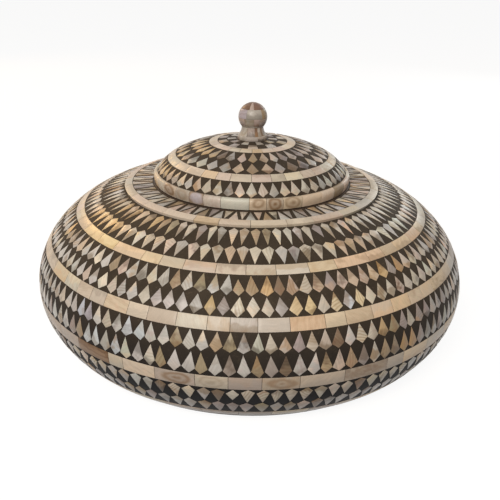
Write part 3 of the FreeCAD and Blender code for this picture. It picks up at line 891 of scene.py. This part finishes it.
edge_face = curved_face(lid_curve, lid_turns["edge"], 90)[0]
lid_edge = np.array(edge_face(0.0, 0.0))
lid_root = np.array(edge_face(0.0, -ground_depth))
rim_foot = np.array((rim_foot_radius, seat_height + rim_clearance))
rim_bulge = np.array((rim_radius + rim_bulge_out, lid_edge[1] + rim_bulge_up))
rim_face = bent_line(lid_edge, rim_bulge, rim_foot, steps=7)
rim_line = np.concatenate((rim_face, [(lid_root[0], rim_foot[1]), lid_root]))
rim_ends = rim_line.copy()
rim_ends[:len(rim_face), 0] -= plate_drop
random = np.random.default_rng(90)
colours = pick_tones(rim_tones, rim_plate_count, random, rim_contrast, (0, rim_front_tones))
eye = np.where(random.random(rim_plate_count) < rim_eye_share,
               random.uniform(*rim_eye_range, rim_plate_count), 0.0)
eye[:len(rim_front_eyes)] = rim_front_eyes
joints = uneven_joints(rim_plate_count, rim_length_spread, random, rim_joints)
lay_plates("lid_rim_plates_cut", "lid", "lid_rim_plates", (rim_line, rim_ends), joints, colours,
           random, steps=4, eye=eye, shown=len(rim_face))


# Knob: a ball on a neck and a flared foot, faced with courses of small shell tiles that
# are filed to the round. Four pieces, rosy and russet by turns, close the top.
knob_ball_radius = 0.0116
knob_skin = 0.0012
knob_joint = 0.00012
knob_seat = float(curved_face(lid_curve, lid_turns["crown"], 90)[0](0.0, 0.0)[1])
ball_height = knob_seat + 0.0176
neck_radius = 0.0093
neck_foot_radius = 0.0112
knob_foot_radius = 0.0121
knob_foot_height = 0.0036
knob_foot_top = knob_seat + knob_foot_height
tile_drop = 0.00008
tile_ease = 1.6
tile_gap = 0.3
course_length_spread = 0.15
course_contrast = 0.6
neck_turn = 130.0
# Of each course: the turns of its edges, its count, its joints in front, and its tones.
courses = (
    (2.0, 53.0, 4, (-18, 5, 69), dict(brown=1), "knob_rose russet knob_rose russet"),
    (53.0, 91.0, 8, (-84, -27, 41, 78), dict(mauve=2, tan=2, brown=1, knob_grey=2),
     "knob_lilac knob_cream tan"),
    (91.0, 122.0, 9, (-35, 5, 30), dict(knob_grey=3, knob_rose=2, mauve=1), "knob_grey knob_rose mauve"),
    (122.0, neck_turn, 8, (-20, 25), dict(knob_grey=2, mauve=2), "knob_grey mauve"),
)
neck_count = 12
neck_joints = (-52, -26, 11, 26, 43, 55)
neck_tones = dict(knob_rose=3, knob_cream=4, knob_grey=2, brown=1)
neck_front_tones = "knob_cream knob_rose russet knob_cream brown knob_cream"
foot_joints = (-30, 22)
foot_length_spread = 0.2
foot_tones = dict(knob_cream=3, knob_rose=2, knob_grey=3)
# The foot's outer line: each point's way in from its radius, and up from its seat.
foot_steps = ((0.0009, knob_foot_height), (0.0002, 0.0033), (0.0, 0.0026), (0.0, 0.0003), (0.0001, 0.0))
tones.update({
    "russet": (0.205, 0.12, 0.078), "knob_rose": (0.43, 0.335, 0.28),
    "knob_cream": (0.47, 0.405, 0.345), "knob_grey": (0.40, 0.365, 0.315),
    "knob_lilac": (0.42, 0.36, 0.38),
})


def tile_sections(outer, inner):
    """Middle and end sections of a tile, whose outer line is moved in along its normal.

    The move is the drop, at both edges of the middle section and all along the end section.
    """
    slope = np.gradient(outer, axis=0)
    normal = np.stack((-slope[:, 1], slope[:, 0]), axis=-1)
    normal /= np.linalg.norm(normal, axis=1, keepdims=True)
    drop = np.zeros((len(outer), 1))
    drop[[0, -1]] = tile_drop
    return [np.concatenate((outer - normal * move, inner)) for move in (drop, tile_drop)]


def ball_line(radius, turns):
    """Points on the knob's ball: radius sin t, and its middle plus radius cos t."""
    turns = np.radians(turns)
    return np.stack((radius * np.sin(turns), ball_height + radius * np.cos(turns)), axis=-1)


def lay_tiles(name, node, outer, inner, joints, colours, random, steps):
    """A course of tiles round the knob, between its outer and inner lines, as a piece."""
    lay_plates(name, "lid", node, tile_sections(outer, inner), joints, colours, random, steps,
               shown=len(outer), gap=knob_joint, slot="knob_shell")


knob_pearl = pearl_finish("pearl_knob", roughness=0.28, line_scale=14.0, cloud_depth=0.2)
for place, (high, low, count, front_joints, mix, front) in enumerate(courses):
    random = np.random.default_rng(100 + place)
    turns = np.concatenate(([high + tile_gap, high + tile_ease], np.linspace(high, low, 5)[1:-1],
                            [low - tile_ease, low - tile_gap]))
    joints = uneven_joints(count, course_length_spread, random, front_joints)
    colours = pick_tones(mix, count, random, course_contrast, (0, front))
    lay_tiles("knob_ball_course_%d" % (place + 1), "knob_ball_tiles", ball_line(knob_ball_radius, turns),
              ball_line(knob_ball_radius - knob_skin, (low, high)), joints, colours, random, steps=5)

neck_top = ball_line(knob_ball_radius, neck_turn)
neck_foot = np.array((neck_foot_radius, knob_foot_top))
waist = np.array((2 * neck_radius - (neck_top[0] + neck_foot[0]) / 2, (neck_top[1] + neck_foot[1]) / 2))
neck_outer = bent_line(neck_top, waist, neck_foot, steps=6)
neck_inner = neck_outer[[-1, 3, 0]] - (knob_skin, 0)
random = np.random.default_rng(110)
joints = uneven_joints(neck_count, plate_length_spread, random, neck_joints)
colours = pick_tones(neck_tones, neck_count, random, by_hand=(0, neck_front_tones))
lay_tiles("knob_neck_courses", "knob_neck_strips", neck_outer, neck_inner, joints, colours, random, steps=3)

foot_outer = np.array([(knob_foot_radius - inward, knob_seat + up) for inward, up in foot_steps])
foot_inner = np.array([(neck_foot_radius - knob_skin, height) for height in (knob_seat, knob_foot_top)])
colours = pick_tones(foot_tones, neck_count, random)
joints = uneven_joints(neck_count, foot_length_spread, random, foot_joints)
lay_tiles("knob_foot_courses", "knob_foot_tiles", foot_outer, foot_inner, joints, colours, random, steps=4)


# Floor and light: a pale floor, an even sky, one broad soft light in front on the left, and two
# small ones behind that glance off the shell, a warm and a cool one. The camera, and glossy and
# clear surfaces, see the setting as white.
floor_reach = 12.0
floor_colour = (0.20, 0.193, 0.186, 1)
floor_glow = 0.89
sky_strength = 0.27
white = (1, 1, 1, 1)
light_aim = Vector((0, 0, 0.08))
# Of each light: its place, side, power and colour.
lights = {
    "window": ((-0.55, -1.75, 1.5), 1.2, 42.0, (1.0, 0.965, 0.91)),
    "warm_back": ((-1.05, 1.2, 0.85), 0.4, 6.2, (1.0, 0.62, 0.25)),
    "cool_back": ((0.88, 1.34, 0.60), 0.4, 2.2, (0.97, 1.0, 0.95)),
}


def seen_directly(start):
    """One for rays of the camera, of reflections and of clear surfaces."""
    camera, glossy, clear = (start.node("LightPath", output="Is %s Ray" % kind)
                             for kind in ("Camera", "Glossy", "Transmission"))
    return start.maths("MAXIMUM", start.maths("MAXIMUM", camera, glossy), clear)


paper, start = new_finish("pale_floor")
diffuse = start.node("BsdfDiffuse", {}, {"Color": floor_colour})
glow = start.node("Emission", {}, {"Color": white, "Strength": floor_glow * seen_directly(start)})
lit_floor = start.node("AddShader", {}, {0: diffuse, 1: glow})
start.node("OutputMaterial", {}, {"Surface": lit_floor})
mesh = bpy.data.meshes.new("floor")
floor_corners = [(x * floor_reach, y * floor_reach, 0) for x, y in ((-1, -1), (1, -1), (1, 1), (-1, 1))]
mesh.from_pydata(floor_corners, [], [(0, 1, 2, 3)])
mesh.materials.append(paper)
floor = bpy.data.objects.new("floor", mesh)
bpy.context.scene.collection.objects.link(floor)

world = bpy.data.worlds.new("studio")
bpy.context.scene.world = world
world.use_nodes = True
world.node_tree.nodes.clear()
start = Finish(world.node_tree)
strength = sky_strength + (1 - sky_strength) * seen_directly(start)
sky = start.node("Background", {}, {"Color": white, "Strength": strength})
start.node("OutputWorld", {}, {"Surface": sky})

for name, (place, side, power, colour) in lights.items():
    lamp = bpy.data.lights.new(name, "AREA")
    lamp.size = side
    lamp.energy = power
    lamp.color = colour
    made = bpy.data.objects.new(name, lamp)
    made.location = place
    made.rotation_euler = (light_aim - made.location).to_track_quat("-Z", "Y").to_euler()
    bpy.context.scene.collection.objects.link(made)


# Camera: half a metre from the box's axis and above its knob, so that it looks down on the lid.
# Its lens, place, tilt and slight roll give the photograph's view.
camera = bpy.data.cameras.new("camera")
camera.lens = 46.8
camera.sensor_width = 36.0
camera_place = (-0.0001, -0.5213, 0.2873)
camera_down = 23.34
camera_roll = 1.17
view = bpy.data.objects.new("camera", camera)
view.matrix_world = (Matrix.Translation(camera_place)
                     @ Matrix.Rotation(math.radians(90 - camera_down), 4, "X")
                     @ Matrix.Rotation(math.radians(camera_roll), 4, "Z"))
bpy.context.scene.collection.objects.link(view)
bpy.context.scene.camera = view
bpy.context.scene.view_settings.view_transform = "Standard"
